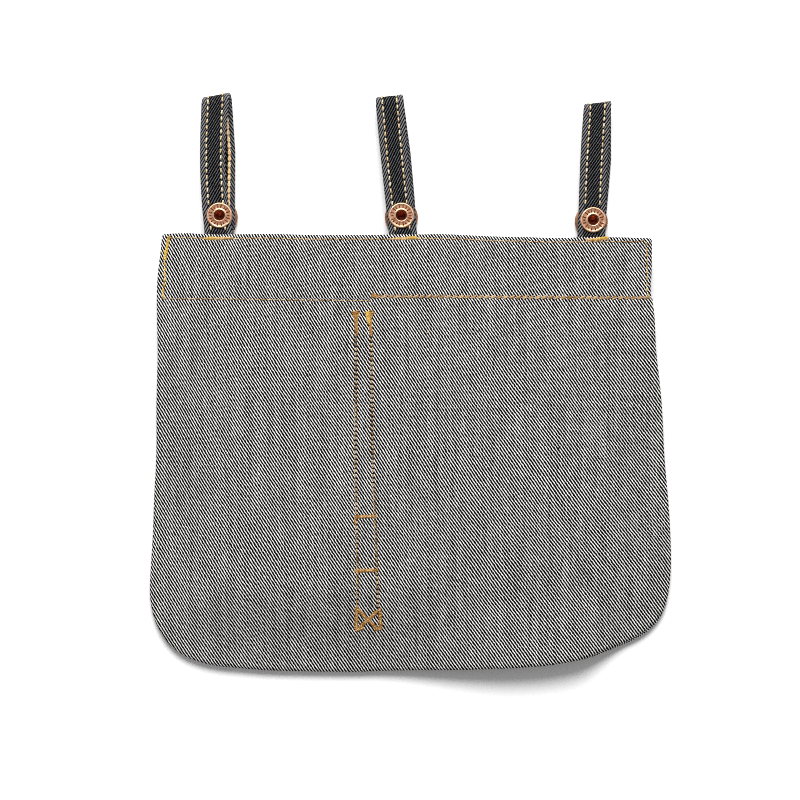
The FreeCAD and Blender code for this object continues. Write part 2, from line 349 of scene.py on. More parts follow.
def face_denim(name, pale_share, tint, soft, bright, grit, rope=None):
    """The right side: dark warp ridges leaning right, with pale weft specks in the valleys."""
    material, tree, shader = new_material(name)
    u, v = cloth_uv(tree)
    wobble = noise(tree, u * 1.1, v * 1.1, 4.0, 1.0) - 0.5
    count_x, count_y = u / (WARP * 0.92), v / (WEFT * 0.98)
    phase = (count_x - count_y) / 4.0 + wobble * 0.42
    speck = noise(tree, u * 2.6, v * 2.6, 6.0, 2.0, 0.7)
    streak = noise(tree, u * 0.9, v * 0.03, 8.0, 2.0) - 0.5
    valley = phase.peak()
    cover = streak * 0.3 + (speck - 0.5) * grit + (0.995 - pale_share)
    light = valley.ease(cover - soft, cover + soft)
    if rope:
        edge = u.math("ABSOLUTE").ease(3.5, 4.0)
        twist = ((v - u * 1.6) / 1.95 + wobble * 0.12).peak().ease(0.30 + rope, 0.62 + rope) * (speck * 0.9 + 0.4)
        light = light * (edge * -0.30 + 0.44) + twist * edge * 0.8
    weft = count_y.hump()
    fuzz = noise(tree, u * 6.0, v * 6.0, 2.0, 2.0)
    dark = blended(tree, fuzz, [c * 0.15 for c in tint], tint)
    # Painted shade: the pale specks darken towards the sides of each weft yarn, mixed with random fuzz.
    pale = blended(tree, fuzz * weft, (0.06, 0.062, 0.07), (bright, bright, bright * 1.02))
    tree.links.new(blended(tree, light, dark, pale).socket, shader.inputs["Base Color"])
    shader.inputs["Roughness"].default_value = 0.93
    shader.inputs["Specular IOR Level"].default_value = 0.0
    ridge = (valley * -1.0) + 1.0
    bump(tree, shader, ridge * 0.9 + count_x.hump() * 0.25 + fuzz * 0.25, 0.3, 0.8)
    return material


def thread(name, first, second, groove_shade):
    """Twisted cotton thread. The strand's own number picks its shade; the grooves of the twist are painted darker as
    shade, mixed with random fibre tone.
    """
    material, tree, shader = new_material(name)
    along, around = cloth_uv(tree)
    pick = dice(tree, around.floor(), 5.0)
    twist = (along / 0.55 + around.frac() * 2.5).hump()
    fibre = noise(tree, along * 3.0, around * 7.0, 1.0, 2.0)
    shade = blended(tree, pick, first, second)
    # Painted shade in the twist's grooves, mixed with random fibre tone.
    shade = blended(tree, (twist * 0.7 + fibre * 0.85 - 0.15).math("MULTIPLY", 1.0, clamp=True), groove_shade, shade)
    tree.links.new(shade.socket, shader.inputs["Base Color"])
    shader.inputs["Roughness"].default_value = 0.7
    shader.inputs["Specular IOR Level"].default_value = 0.15
    bump(tree, shader, twist + fibre * 0.4, 0.12, 0.8)
    return material


def metal(name, bright, worn, hollow_shade, rough, channel=None):
    """Plated metal with handling wear: cloudy tarnish and fine scratches, with painted shade in the dips."""
    material, tree, shader = new_material(name)
    x, y, z = object_xyz(tree)
    cloud = noise(tree, x * 0.9, y * 0.9, z * 0.9, 4.0, 0.6)
    grain = noise(tree, x * 6.0, y * 6.0, z * 6.0, 3.0, 0.65)
    scratch = noise(tree, x * 1.2 + y * 0.7, y * 14.0 - x * 9.0, z, 2.0)
    shade = blended(tree, cloud.ease(0.38, 0.66), bright, worn)
    sharp = tree.nodes.new("ShaderNodeNewGeometry")
    # Painted shade: concave spots, found by pointiness, take the dark hollow colour.
    dip = Wire(tree, sharp.outputs["Pointiness"]).ease(0.44, 0.53)
    shade = blended(tree, dip, hollow_shade, shade)
    if channel:
        # Painted shade: the ring's recessed channel between its rims is darkened, broken up by grain and cloud noise.
        u, v = cloth_uv(tree)
        radius = (u * u + v * v).math("SQRT")
        band = radius.ease(channel[0], channel[0] + 0.15) * (radius * -1.0).ease(-channel[1] - 0.15, -channel[1])
        shade = blended(tree, band * (grain * 0.9 + cloud * 0.5), shade, hollow_shade)
    tree.links.new(shade.socket, shader.inputs["Base Color"])
    shader.inputs["Metallic"].default_value = 1.0
    roughness = cloud * 0.22 + scratch * 0.14 + (rough - 0.18)
    tree.links.new(roughness.socket, shader.inputs["Roughness"])
    bump(tree, shader, grain * 0.7 + scratch * 0.4, 0.05, 0.6)
    return material


def paper_floor():
    material, tree, shader = new_material("floor")
    x, y, z = object_xyz(tree)
    grain = noise(tree, x * 0.02, y * 0.02, 0.0, 2.0)
    tree.links.new(blended(tree, grain, (0.93, 0.93, 0.93), (0.955, 0.955, 0.955)).socket,
                   shader.inputs["Base Color"])
    shader.inputs["Roughness"].default_value = 0.9
    shader.inputs["Specular IOR Level"].default_value = 0.0
    return material


REVERSE = reverse_denim()
FACE = face_denim("denim_face", 0.30, (0.012, 0.013, 0.020), 0.16, 0.40, 0.55)
LOOP_CLOTH = face_denim("denim_loop", 0.25, (0.004, 0.0043, 0.0055), 0.11, 0.62, 1.1, rope=0.1)
CREAM = thread("thread_cream", (0.68, 0.48, 0.24), (0.96, 0.83, 0.57), (0.22, 0.12, 0.05))
GOLD = thread("thread_gold", (0.50, 0.30, 0.08), (0.88, 0.66, 0.34), (0.16, 0.07, 0.015))
ORANGE = thread("thread_orange", (0.34, 0.13, 0.012), (0.60, 0.34, 0.12), (0.08, 0.025, 0.002))
LOOPER = thread("thread_looper", (0.86, 0.58, 0.26), (0.98, 0.82, 0.55), (0.36, 0.18, 0.06))
TAN = thread("thread_tan", (0.30, 0.14, 0.035), (0.76, 0.53, 0.29), (0.08, 0.03, 0.008))
TACK = thread("thread_tack", (0.50, 0.27, 0.06), (0.86, 0.62, 0.33), (0.12, 0.045, 0.008))
YELLOW = thread("thread_yellow", (0.56, 0.33, 0.02), (0.86, 0.62, 0.17), (0.20, 0.085, 0.004))
# Near-black strands: real neps in the cloth, and painted shade at the divider's needle holes.
NEP_AND_HOLE_SHADE_YARN = thread("yarn_dark_neps_and_hole_shade", (0.004, 0.004, 0.005), (0.012, 0.012, 0.015), (0.001, 0.001, 0.001))
BRIGHT = metal("copper_ring", (1.0, 0.70, 0.47), (0.90, 0.51, 0.31), (0.16, 0.045, 0.02), 0.42, (3.0, 4.6))
BROWN = metal("copper_cap", (0.56, 0.30, 0.20), (0.36, 0.16, 0.10), (0.08, 0.026, 0.015), 0.40)
# The hole's lining: copper painted darker than the ring, as painted shade inside the hollow.
DARK = metal("copper_hollow_shade", (0.46, 0.14, 0.075), (0.22, 0.055, 0.03), (0.05, 0.012, 0.007), 0.34)
STEEL = metal("spring_wire", (0.62, 0.60, 0.57), (0.45, 0.43, 0.40), (0.12, 0.11, 0.10), 0.32)


# ---- the pouch's outline and its panels ----
def run_along(path):
    """Distance along a path at each of its points."""
    return np.concatenate([[0], np.cumsum(np.hypot(*np.diff(path, axis=0).T))])


def points_at(path, at):
    run = run_along(path)
    return np.stack([np.interp(at, run, path[:, i]) for i in range(2)], 1)


def evenly(ring, step):
    """Evenly spaced points round a ring."""
    closed = np.concatenate([ring, ring[:1]])
    size = run_along(closed)[-1]
    return points_at(closed, np.linspace(0, size, int(size / step), endpoint=False))


def eased(ring):
    return (np.roll(ring, 1, 0) + 2 * ring + np.roll(ring, -1, 0)) / 4


def inward(ring):
    """Unit vectors that point into an anticlockwise ring."""
    ahead = np.roll(ring, -1, 0) - np.roll(ring, 1, 0)
    ahead /= np.hypot(*ahead.T)[:, None]
    return np.stack([-ahead[:, 1], ahead[:, 0]], 1)


# how far the soft edge stands outside the CAD outline: top and bottom by x, left and right by y
EDGE_RISE = [(-109, 0.9), (-101, 1.6), (-95, 1.4), (-89, 0.75), (-79, 0.7), (-72, 1.1), (-64, 1.2), (-55, 1.0),
             (-46, 0.65), (-20, 0.65), (-12, 0.75), (4, 0.75), (11, 1.1), (15, 1.1), (24, 0.65), (33, 0.2), (42, -0.2),
             (50, -0.2), (59, -0.65), (68, -0.65), (76, -0.5), (90, -0.3), (104, -0.8)]
LEFT_SWELL = [(-116, 1.9), (-104, 1.1), (-92, 0.8), (-76, 0.8), (-64, 0.4), (-50, 0.2), (-38, 0.1), (-16, -0.15),
              (5, 0.0), (16, 0.25), (28, 0.6), (38, 1.0), (50, 1.2), (60, 0.5)]
RIGHT_SWELL = [(-118, -2.6), (-106, 1.4), (-92, 0.9), (-76, 1.7), (-50, 1.3), (-30, 1.0), (0, 0.9), (16, 0.2),
               (27, 0.45), (33, 0.2), (39, -0.6), (44, 0.1), (50, 0.8), (60, 1.1)]
BOTTOM_SWELL = [(-104, 1.6), (-96, 1.4), (-84, 1.5), (-74, 0.8), (-64, 1.2), (-24, 1.2), (-12, 0.4), (4, 0.0),
                (50, -0.5), (66, -0.3), (80, -0.5), (92, -1.0), (100, 0.0), (108, 1.2)]


def read_off(points, x):
    """A line of (place, value) points, with its corners eased."""
    xs, ys = zip(*points)
    return sum(np.interp(x + shift, xs, ys) for shift in (-5, -2.5, 0, 2.5, 5)) / 5


def edge_rise(x):
    """How far the top edge stands above its straight line: it is pulled up at the loops."""
    return read_off(EDGE_RISE, x)


def shaped_rim():
    """The pouch's edge, from the upper edge of the CAD panel."""
    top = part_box("back_panel")[1].z
    ring = {(round(v.co.x / MM, 3), round(v.co.y / MM, 3))
            for v in nodes["back_panel"].data.vertices if abs(v.co.z - top) < 1e-6}
    ring = np.array(sorted(ring, key=lambda p: math.atan2(p[1] + 30, p[0])))
    x, y = eased(eased(evenly(ring, 1.0))).T
    near_top = smooth(TOP_Y - 12, TOP_Y - 0.5, y)
    y = y + near_top * edge_rise(x)
    band_end = smooth(BAND_Y - 0.5, BAND_Y + 1.0, y) * (x > 0)
    side = np.where(x < 0, -read_off(LEFT_SWELL, y), read_off(RIGHT_SWELL, y)) * smooth(20, 80, np.abs(x))
    y = y - read_off(BOTTOM_SWELL, x) * (1 - smooth(-123, -98, y))
    x = x + side - 0.55 * band_end + 0.25 * waves(x, y, 55, 4) * (1 - near_top)
    return np.stack([x, y], 1)


RIM = shaped_rim()


def inset_of(points, rim=RIM):
    """Distance of each point from the rim."""
    ab = np.roll(rim, -1, 0) - rim
    size = (ab ** 2).sum(1)
    found = []
    for part in np.array_split(points, max(1, len(points) // 4000)):
        ap = part[:, None, :] - rim[None]
        t = np.clip((ap * ab[None]).sum(2) / size[None], 0, 1)
        found.append(np.sqrt(((ap - t[..., None] * ab[None]) ** 2).sum(2)).min(1))
    return np.concatenate(found)


GRID_LOW = np.floor(RIM.min(0)) - 3
GRID_SIZE = (np.ceil(RIM.max(0) - GRID_LOW) + 4).astype(int)


def inset_map():
    xs, ys = (low_edge + np.arange(size) for low_edge, size in zip(GRID_LOW, GRID_SIZE))
    points = np.stack(np.meshgrid(xs, ys, indexing="ij"), -1).reshape(-1, 2)
    return inset_of(points).reshape(GRID_SIZE)


INSET = inset_map()


def inset_near(x, y):
    """Distance from the rim, read off a one-millimetre map."""
    fx = np.clip(x - GRID_LOW[0], 0, GRID_SIZE[0] - 1.001)
    fy = np.clip(y - GRID_LOW[1], 0, GRID_SIZE[1] - 1.001)
    i, j = np.floor(fx).astype(int), np.floor(fy).astype(int)
    tx, ty = fx - i, fy - j
    return ((INSET[i, j] * (1 - tx) + INSET[i + 1, j] * tx) * (1 - ty)
            + (INSET[i, j + 1] * (1 - tx) + INSET[i + 1, j + 1] * tx) * ty)


def inside(points, rim):
    x, y = points.T
    hit = np.zeros(len(points), bool)
    for (x0, y0), (x1, y1) in zip(rim, np.roll(rim, -1, 0)):
        if y0 != y1:
            hit ^= ((y0 > y) != (y1 > y)) & (x < (x1 - x0) * (y - y0) / (y1 - y0) + x0)
    return hit


def offset_rim(rim, inset):
    moved = rim + inward(rim) * inset
    return moved[inset_of(moved, rim) > inset * 0.985]


def rows_beside(path, offsets, step):
    """Points in rows beside a path, for a finer mesh there."""
    path = np.array(path, float)
    size = run_along(path)[-1]
    line = points_at(path, np.linspace(0, size, max(2, int(size / step))))
    ahead = np.gradient(line, axis=0)
    ahead /= np.hypot(*ahead.T)[:, None]
    side = np.stack([-ahead[:, 1], ahead[:, 0]], 1)
    return np.concatenate([line + side * o for o in offsets])


def layer(shape, rim, rings, spacing, extra, upper, lower, uv, kinds):
    """A closed sheet inside rim, between the heights upper(x, y, inset) and lower(x, y, inset)."""
    parts = [rim] + [offset_rim(rim, r) for r in rings]
    lo, hi = rim.min(0), rim.max(0)
    rows = np.arange(lo[1], hi[1], spacing * 0.866)
    grid = [(x + (spacing / 2 if i % 2 else 0), y)
            for i, y in enumerate(rows) for x in np.arange(lo[0], hi[0], spacing)]
    grid = np.array(grid)
    if len(extra):
        near = extra[inside(extra, rim)]
        near = near[inset_of(near, rim) > 0.5]
        cell = {tuple(c) for c in np.floor(near / (spacing * 0.75)).astype(int)}
        keep = np.array([tuple(c) not in cell for c in np.floor(grid / (spacing * 0.75)).astype(int)])
        grid = grid[keep]
        parts.append(near)
    grid = grid[inside(grid, rim)]
    parts.append(grid[inset_of(grid, rim) > (rings[-1] if rings else 0) + spacing * 0.5])
    points = np.concatenate(parts)
    border = [(i, (i + 1) % len(rim)) for i in range(len(rim))]
    flat, _, triangles, _, _, _ = delaunay_2d_cdt([Vector(p) for p in points], border, [], 1, 1e-4, True)
    flat = np.array([tuple(p) for p in flat])
    triangles = np.array(triangles)
    triangles = triangles[inside(flat[triangles].mean(1), rim)].tolist()
    used = {}
    for a, b, c in triangles:
        for e in ((a, b), (b, c), (c, a)):
            used[e] = used.get(e, 0) + 1
    x, y = flat.T
    depth = inset_of(flat, rim)
    top = np.stack([x, y, upper(x, y, depth)], 1)
    under = np.stack([x, y, lower(x, y, depth)], 1)
    coords = [tuple(c) for c in uv(x, y)]
    first = shape.add([Vector(p) for p in top], coords, triangles, kinds[0])
    second = shape.add([Vector(p) for p in under], coords, [], kinds[1])
    shape.faces.extend((second + c, second + b, second + a) for a, b, c in triangles)
    shape.kinds.extend([kinds[1]] * len(triangles))
    for a, b in [e for e in used if (e[1], e[0]) not in used]:
        shape.faces.append((first + b, first + a, second + a, second + b))
        shape.kinds.append(kinds[0])


# stitch lines on the wearer's side
def top_line_y(x):
    return TOP_Y - 2.1 + edge_rise(x) + 1.2 * smooth(96, 106, x)


def side_line(y, side):
    """X of the band's end stitching."""
    if side < 0:
        return -108.0 + 2.0 * smooth(TOP_Y - 4, TOP_Y, y) - 0.9 * smooth(48, BAND_Y, y)
    return 104.2 + 1.2 * smooth(40, BAND_Y, y) - 0.4 * smooth(58, TOP_Y, y)


def steps(start, end, count):
    return [start + (end - start) * i / (count - 1) for i in range(count)]


TOP_LINE = [(x, float(top_line_y(x))) for x in steps(-106.5, 103.5, 90)]
BAND_LEFT = [(x, BAND_Y - 0.1 - 0.8 * smooth(-109, -17, x)) for x in steps(-109.4, -17.2, 40)]
BAND_RIGHT = [(x, BAND_Y + 0.9 - 0.6 * smooth(-16, 105, x)) for x in steps(-15.6, 105.4, 50)]
LEFT_END = [(float(side_line(y, -1)), y) for y in steps(TOP_Y - 0.6, BAND_Y, 20)]
RIGHT_END = [(float(side_line(y, 1)), y) for y in steps(TOP_Y - 2.2, BAND_Y + 0.4, 20)]
DIVIDER_LEFT = [(-24.3 + 0.9 * t + 0.22 * math.sin(9 * t), 30.0 - 129.5 * t) for t in steps(0, 1, 60)]
DIVIDER_RIGHT = [(-17.6 + 3.2 * t ** 1.2 + 0.25 * math.sin(8 * t + 1), 30.0 - 129.5 * t)
                 for t in steps(0, 1, 60)]
LINES = [TOP_LINE, BAND_LEFT, BAND_RIGHT, LEFT_END, RIGHT_END, DIVIDER_LEFT, DIVIDER_RIGHT]
FINE = np.concatenate([rows_beside(line, (-1.7, -1.0, -0.5, 0, 0.5, 1.0, 1.7), 0.7) for line in LINES])


def dip_by(x, y, path, width=0.55):
    """1 on a stitch line, 0 away from it, deeper at the needle holes."""
    path = np.array(path, float)
    seg = np.diff(path, axis=0)
    run = run_along(path)
    points = np.stack([x, y], 1)
    lo, hi = path.min(0) - 4, path.max(0) + 4
    near = ((points > lo) & (points < hi)).all(1)
    found = np.zeros(len(x))
    ap = points[near][:, None, :] - path[None, :-1]
    t = np.clip((ap * seg[None]).sum(2) / (seg ** 2).sum(1)[None], 0, 1)
    away = np.sqrt(((ap - t[..., None] * seg[None]) ** 2).sum(2))
    best = away.argmin(1)
    rows = np.arange(len(best))
    along = run[best] + t[rows, best] * np.hypot(*seg.T)[best]
    holes = 0.72 + 0.28 * np.cos(along / PITCH * math.tau)
    found[near] = np.exp(-(away[rows, best] / width) ** 2) * holes
    return found


def all_dips(x, y):
    return np.max([dip_by(x, y, line) for line in LINES], 0)


def loop_axis(name, height, side=0.0):
    """A point on a loop's own axis, height above the bend line."""
    x, lean, *_ = LOOPS[name]
    lean = math.radians(lean)
    return (x - height * math.sin(lean) + side * math.cos(lean),
            HINGE_Y + height * math.cos(lean) + side * math.sin(lean))


def over_tail(x, y, grow=0.0):
    """1 where a loop's tail lies between the panels."""
    total = np.zeros_like(x)
    for name, (cx, lean, _, shift, _) in LOOPS.items():
        lean = math.radians(lean)
        side = (x - cx) * math.cos(lean) + (y - HINGE_Y) * math.sin(lean) - shift
        along = -(x - cx) * math.sin(lean) + (y - HINGE_Y) * math.cos(lean)
        half = LOOP_WIDTH / 2 + grow
        beside = 1 - smooth(half, half + 2.2, np.abs(side))
        total = np.maximum(total, beside * smooth(TAIL_LOW - 2.5, TAIL_LOW - 0.3, along))
    return total


def settle(x, y):
    """How far the pouch's edge sinks to the table (below 0) or stands off it (above 0)."""
    d = inset_near(x, y)
    raised = smooth(-24, 54, x) * (1 - smooth(72, 98, x)) * (1 - smooth(-104, -82, y))
    drop = 6.7 * (1 - smooth(-55, 40, y)) * (1 - raised)
    return 1.8 * raised * (1 - smooth(0, 30, d)) - drop * (1 - smooth(0, 40, d))


def ripple(x, y):
    """Slow waves of cloth that has been pressed, then handled."""
    calm = smooth(2, 26, inset_near(x, y))
    return 0.16 * waves(x, y, 60, 11) * calm + 0.05 * waves(x, y, 17, 12)


def rolled(d, width):
    """How far a rounded edge has risen at distance d from it, 0 to 1."""
    return np.sqrt(1 - (1 - np.clip(d / width, 0, 1)) ** 2)


def turned_edge(x, y, d):
    """1 where the panel's turned-in edge doubles it."""
    return (1 - smooth(ALLOWANCE_WIDTH - 0.4, ALLOWANCE_WIDTH + 0.6, d)) * (1 - over_tail(x, y))


EDGE_ROLL = 1.9


def back_upper(x, y, d):
    lip = SEAM_Z + 0.03 + over_tail(x, y) * (BACK_Z - SEAM_Z)
    flat = FACE_Z + ripple(x, y) - 0.12 - 0.34 * all_dips(x, y)
    flat = flat + 0.10 * over_tail(x, y, -1.0) - 0.14 * smooth(ALLOWANCE_WIDTH - 1, ALLOWANCE_WIDTH + 2, d)
    flat = flat + 0.16 * smooth(BAND_Y + 0.6, BAND_Y + 2.2, y) * (1 - smooth(BAND_Y + 6, BAND_Y + 16, y))
    return lip + (flat - lip) * rolled(d, EDGE_ROLL) + settle(x, y)


def back_lower(x, y, d):
    turned_in = turned_edge(x, y, d)
    return BACK_Z - 0.02 + 0.02 * waves(x, y, 40, 3) - (BACK_Z - SEAM_Z - 0.04) * turned_in + settle(x, y)


def front_upper(x, y, d):
    return RIM_Z + (SEAM_Z - RIM_Z - 0.02) * turned_edge(x, y, d) + settle(x, y)


def front_lower(x, y, d):
    lip = SEAM_Z - 0.03 - over_tail(x, y) * (SEAM_Z - RIM_Z)
    return lip + (FRONT_Z - lip) * rolled(d, EDGE_ROLL) + settle(x, y)


def twill_uv(x, y):
    """Cloth coordinates of the wearer's side. The band was cut apart, so its lines run steeper."""
    sway = 0.35 * waves(x, y, 70, 21) + 0.12 * waves(x, y, 24, 22)
    u = x - 0.000215 * x ** 2 + sway
    v = y * (1 + 0.00053 * x) + 0.4 * waves(x, y, 90, 23)
    in_band = smooth(BAND_Y - 0.25, BAND_Y + 0.25, y - 0.5 * smooth(-17, -15, x))
    v = v + in_band * (0.9 + 0.0045 * (x - 40) - 0.02 * (y - BAND_Y))
    return np.stack([u, v], 1)


def plain_uv(x, y):
    return np.stack([x + 0.3 * waves(x, y, 60, 31), y + 0.3 * waves(x, y, 60, 32)], 1)


RINGS = (0.03, 0.12, 0.3, 0.6, 1.0, 1.5, 2.0, 2.7, 3.6, 5.0, 7.0, 9.3, 10.8)


def panel(name, node, rim, rings, spacing, upper, lower, uv, extra=(), reverse_out=False, flat=None):
    """A cloth sheet inside rim on the pouch, in place of a CAD node. flat is the edge of its cloth laid
    out, where that is not rim."""
    shape = Shape()
    layer(shape, rim, rings, spacing, extra, upper, lower, uv, (0, 1) if reverse_out else (1, 0))
    item = shape.make(name, [REVERSE, FACE] if reverse_out else [FACE, REVERSE])
    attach(item, "pouch")
    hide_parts(node)
    flat = rim if flat is None else flat
    x, y = flat.T
    size = (flat.max(0) - flat.min(0)) * MM
    area = abs((x * np.roll(y, -1) - y * np.roll(x, -1)).sum()) / 2 * MM ** 2
    min(area, float(size[0] * size[1]))


def main_panels():
    panel("back_cloth", "back_panel", RIM, RINGS, 1.7, back_upper, back_lower, twill_uv,
          extra=FINE, reverse_out=True)
    proud = 0.6 * smooth(66, 88, RIM[:, 0]) * (1 - smooth(-108, -90, RIM[:, 1]))
    panel("front_cloth", "front_panel", RIM - inward(RIM) * proud[:, None], RINGS, 3.0,
          front_upper, front_lower, plain_uv, flat=RIM)


# ---- the front: waistband facing, pockets, tool strap ----
def part_of_rim(y_low, y_high, inset):
    """The rim moved in by inset and kept between two heights, closed by straight runs."""
    ring = offset_rim(RIM, inset)
    ring = ring[(ring[:, 1] > y_low) & (ring[:, 1] < y_high)]
    left, right = ring[ring[:, 0] < 0], ring[ring[:, 0] > 0]
    corners = []
    for side in (right, left):
        for y in (y_low, y_high):
            nearest = side[np.argmin(np.abs(side[:, 1] - y))]
            if abs(nearest[1] - y) < 2.5:
                corners.append((nearest[0], y))
    ring = np.concatenate([ring, np.array(corners)])
    middle = np.array([0, (max(y_low, ring[:, 1].min()) + min(y_high, ring[:, 1].max())) / 2])
    ring = ring[np.argsort(np.arctan2(ring[:, 1] - middle[1], ring[:, 0] - middle[0]))]
    return evenly(ring, 1.0)


EDGE_RINGS = (0.04, 0.15, 0.35, 0.6, 1.0, 1.6, 2.6)


def band_cloth():
    rim = part_of_rim(BAND_Y, TOP_Y - 1.0, 0.7)
    z0, z1 = low("waistband").z, high("waistband").z
    panel("band_cloth", "waistband", rim, EDGE_RINGS, 3.0,
          lambda x, y, d: np.full_like(x, z1 - 0.01),
          lambda x, y, d: (z1 + z0) / 2 + ((z0 - z1) / 2 + 0.06 * waves(x, y, 30, 41)) * rolled(d, 0.8)
          + 0.18 * np.exp(-((d - 2.2) / 0.5) ** 2),
          lambda x, y: np.stack([y, x], 1))
    return rim


POCKET_RIM = part_of_rim(-400, MOUTH_Y, 0.5)
HEM_ROWS = (2.0, 11.2)            # stitch rows below the pocket's mouth
FLANGE_Z = FRONT_Z - CLOTH
DIVIDER_HALF = 8.6


def belly(x, y):
    """0 where the pocket panel is sewn flat, 1 where it stands open."""
    d = inset_near(x, np.minimum(y, MOUTH_Y - 20))
    open_side = smooth(5.4, 16.5, d)
    apart = np.abs(x - DIVIDER_X)
    return open_side * smooth(DIVIDER_HALF - 0.6, DIVIDER_HALF + 9.5, apart)


def pocket_low(x, y, d):
    full = belly(x, y)
    folds = (0.55 + 0.45 * waves(x, y, 34, 51)) * 1.3 * full * (1 - full) * 2
    z = (FLANGE_Z + settle(x, y)) * (1 - full) + folds + 0.12 + 0.12 * waves(x, y, 26, 52) * full
    mouth = MOUTH_Y - y
    z = z + 0.2 * np.exp(-((mouth - 11.0) / 0.5) ** 2) + 0.2 * np.exp(-((mouth - 2.0) / 0.5) ** 2)
    return np.clip(z, 0.02, FLANGE_Z + settle(x, y)) + 0.45 * (1 - rolled(d, 0.8))


def pocket_up(x, y, d):
    hem = 0.85 * (1 - smooth(11.5, 12.5, MOUTH_Y - y)) * smooth(0.2, 0.6, belly(x, y))
    outer = pocket_low(x, y, np.full_like(d, 9.0))
    return np.minimum(outer + CLOTH + hem, FRONT_Z - 0.02 + settle(x, y)) - 0.4 * (1 - rolled(d, 0.8))


def pocket_cloth():
    rows = [rows_beside([(-108, MOUTH_Y - h), (107, MOUTH_Y - h)], (-0.9, -0.4, 0, 0.4, 0.9), 1.2)
            for h in HEM_ROWS]
    panel("pocket_cloth", "pocket_panel", POCKET_RIM, EDGE_RINGS, 2.2, pocket_up, pocket_low,
          plain_uv, extra=np.concatenate(rows))


def strap_cloth(name, node):
    """The tool strap or its outer strip, four-sided with eased corners, from its CAD box."""
    a, b = low(node), high(node)
    slim = b.x - a.x
    corners = [(a.x + 0.06 * slim, a.y), (b.x, a.y), (b.x - 0.235 * slim, b.y), (a.x, b.y)]
    rim = eased(evenly(np.array(corners), 0.8))
    panel(name, node, rim, EDGE_RINGS[:-1], 1.6,
          lambda x, y, d: b.z - 0.01 + settle(x, y),
          lambda x, y, d: (b.z + a.z) / 2 + ((a.z - b.z) / 2 + 0.05 * waves(x, y, 14, 61)) * rolled(d, 0.7)
          + 0.16 * np.exp(-((d - 1.9) / 0.4) ** 2) + settle(x, y),
          plain_uv)
    return rim


# ---- stitching ----
def face_height(x, y):
    return FACE_Z - 0.22 + float(ripple(x, y)) + float(settle(x, y))


# along one stitch, end to end: the strand's places as shares of its length, and how high it stands
STITCH_AT = (-0.5, -0.42, -0.22, 0, 0.22, 0.42, 0.5)
STITCH_ARCH = (-1.6, -0.45, 0.75, 1.0, 0.75, -0.45, -1.6)


def stitches(shape, path, rng, height=face_height, pitch=PITCH, length=1.9, radius=0.3, sink=0.22, skew=0.0):
    """Lockstitches along a path of (x, y): each stands out of the cloth and dives at its holes. A negative
    sink is for stitches seen from below."""
    path = np.array(path, float)
    run = run_along(path)
    count = int(run[-1] / pitch)
    for i in range(count):
        middle = (i + 0.5) * run[-1] / count + rng.uniform(-0.12, 0.12)
        size = length * rng.uniform(0.9, 1.08)
        xs, ys = ([float(np.interp(middle + size * f, run, line)) for f in STITCH_AT] for line in path.T)
        ahead = Vector((xs[-1] - xs[0], ys[-1] - ys[0])).normalized()
        lean = skew * rng.uniform(0.6, 1.4)
        points = [(x - ahead.y * lean * f * 2, y + ahead.x * lean * f * 2, height(x, y) + sink * a)
                  for f, x, y, a in zip(STITCH_AT, xs, ys, STITCH_ARCH)]
        shape.tube(points, radius * rng.uniform(0.92, 1.1), rng.randrange(900), flat=0.8)


def finish_thread(shape, name, material, *replaced):
    item = shape.make(name, material)
    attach(item, "pouch")
    if replaced:
        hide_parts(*replaced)


def band_stitching():
    rng = random.Random(71)
    shape = Shape()
    stitches(shape, TOP_LINE, rng, pitch=2.57, length=1.8, radius=0.28, sink=0.17)
    stitches(shape, BAND_LEFT, rng, radius=0.27, sink=0.16)
    finish_thread(shape, "band_stitches_thin", TAN)
    shape = Shape()
    for shift in (-0.28, 0.28):
        line = [(x, y + shift) for x, y in BAND_RIGHT]
        stitches(shape, line, rng, length=2.3, radius=0.32, sink=0.18, skew=0.42)
    finish_thread(shape, "band_stitches_thick", TAN)
    shape = Shape()
    stitches(shape, LEFT_END[4:], rng, pitch=2.35, length=1.75, radius=0.44, sink=0.24, skew=0.3)
    finish_thread(shape, "band_left_stitches", YELLOW)
    shape = Shape()
    stitches(shape, RIGHT_END, rng, pitch=2.44, length=1.55, radius=0.34, sink=0.2)
    finish_thread(shape, "band_right_stitches", GOLD)


def divider_stitching():
    """Two rows of thick thread, and dark strands at the holes between the stitches, as painted shade."""
    rng = random.Random(72)
    looks = (("divider_stitches", TAN, 0.0, 0.0, dict(length=1.35, radius=0.38, sink=0.2, skew=0.32)),
             # The dark strands sit in the needle holes between stitches: painted shade.
             ("divider_hole_shade", NEP_AND_HOLE_SHADE_YARN, 0.1, -1.02, dict(length=0.75, radius=0.34, sink=0.03, skew=-0.2)))
    for name, material, right, up, look in looks:
        shape = Shape()
        for line in (DIVIDER_LEFT, DIVIDER_RIGHT):
            stitches(shape, [(x + right, y + up) for x, y in line], rng, pitch=2.05, **look)
        finish_thread(shape, name, material)


